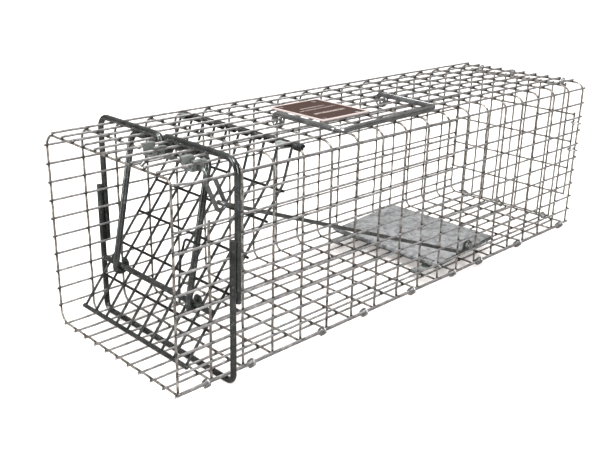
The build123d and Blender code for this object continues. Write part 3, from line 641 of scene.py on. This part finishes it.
# ------------------------------------------------------------------ CAD nodes that stay, with their materials
NODE_MATERIALS = {
    hoop_steel: ["upper_hoop_left", "upper_hoop_right", "lower_hoop", "door_bottom_rod"],
    lock_steel: ["lock_frame", "lock_bar"],
    door_steel: ["door_cross_wires", "lock_spring"],
    trip_steel: ["trip_rod", "trip_hook", "trigger_rod"],
    sheet_zinc: ["door_hinge_clips", "trip_rod_clips", "pan_hinge_clips", "label_washers"],
    bright_zinc: ["pan_hinge_rod", "trigger_rivet", "label_rivets"],
    handle_steel: ["handle"],
    pan_zinc: ["pan"],
}
plate_low, plate_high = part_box("label_plate")
label_print = label_material(
    "label_print",
    (plate_low + plate_high) / 2,
    (plate_high.x - plate_low.x) / 2,
    (plate_high.y - plate_low.y) / 2,
    2.2 * MM,
    (0.048, 0.023, 0.018),
    (0.5, 0.43, 0.415),
)
NODE_MATERIALS[label_print] = ["label_plate"]
for material, names in NODE_MATERIALS.items():
    for name in names:
        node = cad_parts[name]
        for slot in node.material_slots:
            slot.link = "OBJECT"
            slot.material = material

# ------------------------------------------------------------------ studio
REACH = 14.0
floor_mesh = bpy.data.meshes.new("floor")
floor_mesh.from_pydata(
    [(-REACH, -REACH, 0), (REACH, -REACH, 0), (REACH, REACH, 0), (-REACH, REACH, 0)], [], [(0, 1, 2, 3)]
)
floor = bpy.data.objects.new("floor", floor_mesh)
bpy.context.scene.collection.objects.link(floor)
# The floor is pale to the camera and glows faintly so that it stays white. To every other ray it is dark grey, which
# is painted shade: it sends little light back up, so the undersides of the wires stay dark.
paper = Nodes("paper")
seen = paper.add("LightPath").outputs["Is Camera Ray"]
floor_mesh.materials.append(paper.finish(paper.mix(seen, (0.2, 0.19, 0.18), (0.9, 0.87, 0.85)), 0.9, 0.0))
paper.tree.links.new(paper.mix(seen, (0, 0, 0), (0.36, 0.34, 0.33)), paper.shader.inputs["Emission Color"])
paper.shader.inputs["Emission Strength"].default_value = 1.0

# The room: bright overhead and dim round the horizon, so that round wires shade from top to bottom.
world = bpy.data.worlds.new("studio")
world.use_nodes = True
tree = world.node_tree
background = tree.nodes["Background"]
direction = tree.nodes.new("ShaderNodeTexCoord")
height = tree.nodes.new("ShaderNodeSeparateXYZ")
ramp = tree.nodes.new("ShaderNodeValToRGB")
ramp.color_ramp.elements[0].position = 0.1
ramp.color_ramp.elements[0].color = (0.16, 0.155, 0.15, 1.0)
ramp.color_ramp.elements[1].position = 0.8
ramp.color_ramp.elements[1].color = (1.0, 0.97, 0.93, 1.0)
path_kind = tree.nodes.new("ShaderNodeLightPath")
choose = tree.nodes.new("ShaderNodeMix")
choose.data_type = "RGBA"
choose.inputs[7].default_value = (1.4, 1.4, 1.4, 1.0)
tree.links.new(direction.outputs["Generated"], height.inputs[0])
tree.links.new(height.outputs["Z"], ramp.inputs["Fac"])
tree.links.new(path_kind.outputs["Is Camera Ray"], choose.inputs[0])
tree.links.new(ramp.outputs["Color"], choose.inputs[6])
tree.links.new(choose.outputs[2], background.inputs["Color"])
background.inputs["Strength"].default_value = 0.6
bpy.context.scene.world = world


def soft_light(name, at, size, power, aim=(0, 0, 0.06)):
    lamp = bpy.data.lights.new(name, "AREA")
    lamp.shape = "DISK"
    lamp.size = size
    lamp.energy = power
    holder = bpy.data.objects.new(name, lamp)
    holder.location = at
    holder.rotation_euler = (Vector(aim) - Vector(at)).to_track_quat("-Z", "Y").to_euler()
    bpy.context.scene.collection.objects.link(holder)


soft_light("key", (0.5, -1.0, 1.9), 0.55, 44)
soft_light("rim", (-1.1, 1.3, 1.6), 0.7, 14)
for name, at, power in (("right_strip", (1.3, -0.5, 0.55), 22), ("front_strip", (-0.5, -1.5, 0.55), 15)):
    soft_light(name, at, 0.36, power)
    strip = bpy.data.lights[name]
    strip.shape = "RECTANGLE"
    strip.size_y = 1.1
sun = bpy.data.lights.new("overhead", "SUN")
sun.energy = 0.7
sun.angle = radians(60)
holder = bpy.data.objects.new("overhead", sun)
holder.location = (0, 0, 2)
bpy.context.scene.collection.objects.link(holder)

bpy.context.scene.view_settings.view_transform = "Standard"

# ------------------------------------------------------------------ camera
CAMERA_AT = Vector((0.4187, -0.4810, 0.2738))
AZIMUTH, ELEVATION, ROLL = radians(44.554), radians(20.583), radians(1.504)
LENS = 48.6
ahead = Vector((-sin(AZIMUTH) * cos(ELEVATION), cos(AZIMUTH) * cos(ELEVATION), -sin(ELEVATION)))
right = Vector((cos(AZIMUTH), sin(AZIMUTH), 0))
up = right.cross(ahead)
right, up = right * cos(ROLL) + up * sin(ROLL), up * cos(ROLL) - right * sin(ROLL)
camera_data = bpy.data.cameras.new("camera")
camera_data.lens = LENS
camera_data.clip_start = 0.01
camera = bpy.data.objects.new("camera", camera_data)
camera.matrix_world = Matrix.Translation(CAMERA_AT) @ Matrix((right, up, -ahead)).transposed().to_4x4()
bpy.context.scene.collection.objects.link(camera)
bpy.context.scene.camera = camera
